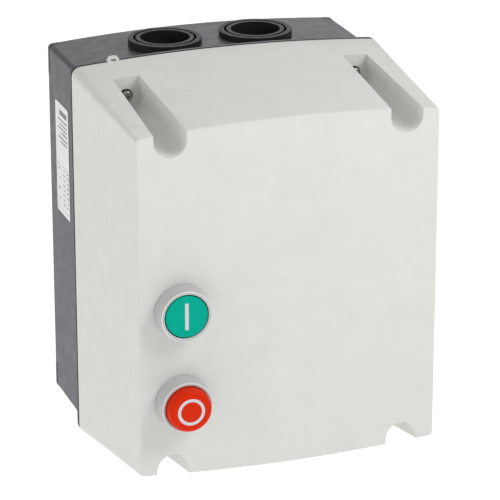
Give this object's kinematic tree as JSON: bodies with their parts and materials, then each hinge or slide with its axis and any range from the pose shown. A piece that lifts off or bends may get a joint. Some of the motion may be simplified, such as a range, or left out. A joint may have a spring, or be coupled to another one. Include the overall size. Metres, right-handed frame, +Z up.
{
  "type": "enclosed motor starter",
  "caption": "Wall-mounted insulated motor starter box with a deep light-grey cover, green start button, projecting red stop and reset button, screw channels and cable entries.",
  "frame": {"origin": "centre of the rectangle of four wall-fixing holes, on the enclosure's back face", "axes": "+X to the right as seen from the front, +Y out of the back towards the wall, +Z up"},
  "size_m": [0.1906, 0.1932, 0.2414],
  "materials": {
    "shell_dark": "fine matt",
    "cover_light": "fine grained matt",
    "seal_rubber": "matt",
    "brass_insert": "machined",
    "entry_black": "matt",
    "plug_rubber": "matt",
    "label_film": "satin",
    "rail_zinc": "zinc plated",
    "screw_zinc": "zinc plated",
    "device_dark": "matt",
    "device_light": "matt",
    "contact_metal": "plated",
    "magnet_iron": "laminated",
    "coil_nylon": "matt",
    "coil_wire": "enamelled copper",
    "bezel_grey": "satin metallised",
    "button_green": "satin",
    "button_red": "satin",
    "mark_white": "satin",
    "rod_grey": "matt",
    "nut_black": "matt",
    "spring_steel": "bright",
    "reset_blue": "satin",
    "dial_white": "satin",
    "lead_black": "satin"
  },
  "bodies": {
    "base": {"rear_enclosure": "shell_dark", "cover_gasket": "seal_rubber", "thread_inserts": "brass_insert", "entry_ring_top_left": "entry_black", "entry_ring_top_right": "entry_black", "entry_ring_low_left": "entry_black", "entry_ring_low_right": "entry_black", "blanking_plug_left": "plug_rubber", "blanking_plug_right": "plug_rubber", "rating_label": "label_film", "mounting_rail": "rail_zinc", "rail_screws": "screw_zinc", "contactor_base": "device_dark", "contactor_housing": "device_light", "fixed_contacts": "contact_metal", "contactor_terminal_screws": "screw_zinc", "magnet_core": "magnet_iron", "coil_former": "coil_nylon", "coil_winding": "coil_wire", "armature_springs": "spring_steel", "start_contact_block": "device_light", "block_screws": "screw_zinc", "relay_base": "device_dark", "relay_housing": "device_light", "relay_pins": "contact_metal", "relay_bars": "contact_metal", "relay_terminal_screws": "screw_zinc", "bimetal_strips": "contact_metal", "reset_spring": "spring_steel", "earth_bar": "brass_insert", "earth_bar_screws": "screw_zinc", "earth_clamps": "rail_zinc", "earth_clamp_screws": "screw_zinc", "control_leads": "lead_black"},
    "cover": {"front_cover": "cover_light", "cover_screws": "screw_zinc", "sealing_washers": "seal_rubber", "start_bezel": "bezel_grey", "start_bezel_gasket": "seal_rubber", "start_lock_nut": "nut_black", "start_spring": "spring_steel", "stop_bezel": "bezel_grey", "stop_bezel_gasket": "seal_rubber", "stop_lock_nut": "nut_black", "stop_spring": "spring_steel"},
    "start_button": {"start_cap": "button_green", "start_mark": "mark_white", "start_rod": "rod_grey"},
    "stop_button": {"stop_cap": "button_red", "stop_mark": "mark_white", "stop_rod": "rod_grey"},
    "start_contact": {"start_plunger": "rod_grey", "start_bridge": "contact_metal"},
    "overload_reset": {"reset_plunger": "reset_blue"},
    "armature_group": {"armature": "magnet_iron", "contact_carrier": "device_dark", "moving_contacts": "contact_metal"},
    "setting_dial": {"current_dial": "dial_white"}
  },
  "joints": [
    {"name": "cover_lift", "type": "slide", "parent": "base", "child": "cover", "axis": [0, -1, 0], "range_m": [0, 0.13]},
    {"name": "start_press", "type": "slide", "parent": "cover", "child": "start_button", "axis": [0, 1, 0], "range_m": [0, 0.005], "stiffness_N_per_m": 500, "springref_m": -0.006, "deforming": ["start_spring"]},
    {"name": "start_contact_close", "type": "slide", "parent": "base", "child": "start_contact", "axis": [0, 1, 0], "range_m": [0, 0.005]},
    {"name": "stop_press", "type": "slide", "parent": "cover", "child": "stop_button", "axis": [0, 1, 0], "range_m": [0, 0.005], "stiffness_N_per_m": 500, "springref_m": -0.006, "deforming": ["stop_spring"]},
    {"name": "overload_reset_push", "type": "slide", "parent": "base", "child": "overload_reset", "axis": [0, 1, 0], "range_m": [0, 0.005], "deforming": ["reset_spring"]},
    {"name": "armature_pull", "type": "slide", "parent": "base", "child": "armature_group", "axis": [0, 1, 0], "range_m": [0, 0.0048], "stiffness_N_per_m": 400, "springref_m": -0.006, "deforming": ["armature_springs"]},
    {"name": "current_setting", "type": "hinge", "parent": "base", "child": "setting_dial", "pos_m": [-0.043, -0.0934, -0.04], "axis": [0, -1, 0], "range_deg": [-130, 130]}
  ],
  "couplings": [
    {"joint": "start_contact_close", "follows": "start_press", "ratio": 1},
    {"joint": "overload_reset_push", "follows": "stop_press", "ratio": 1}
  ]
}
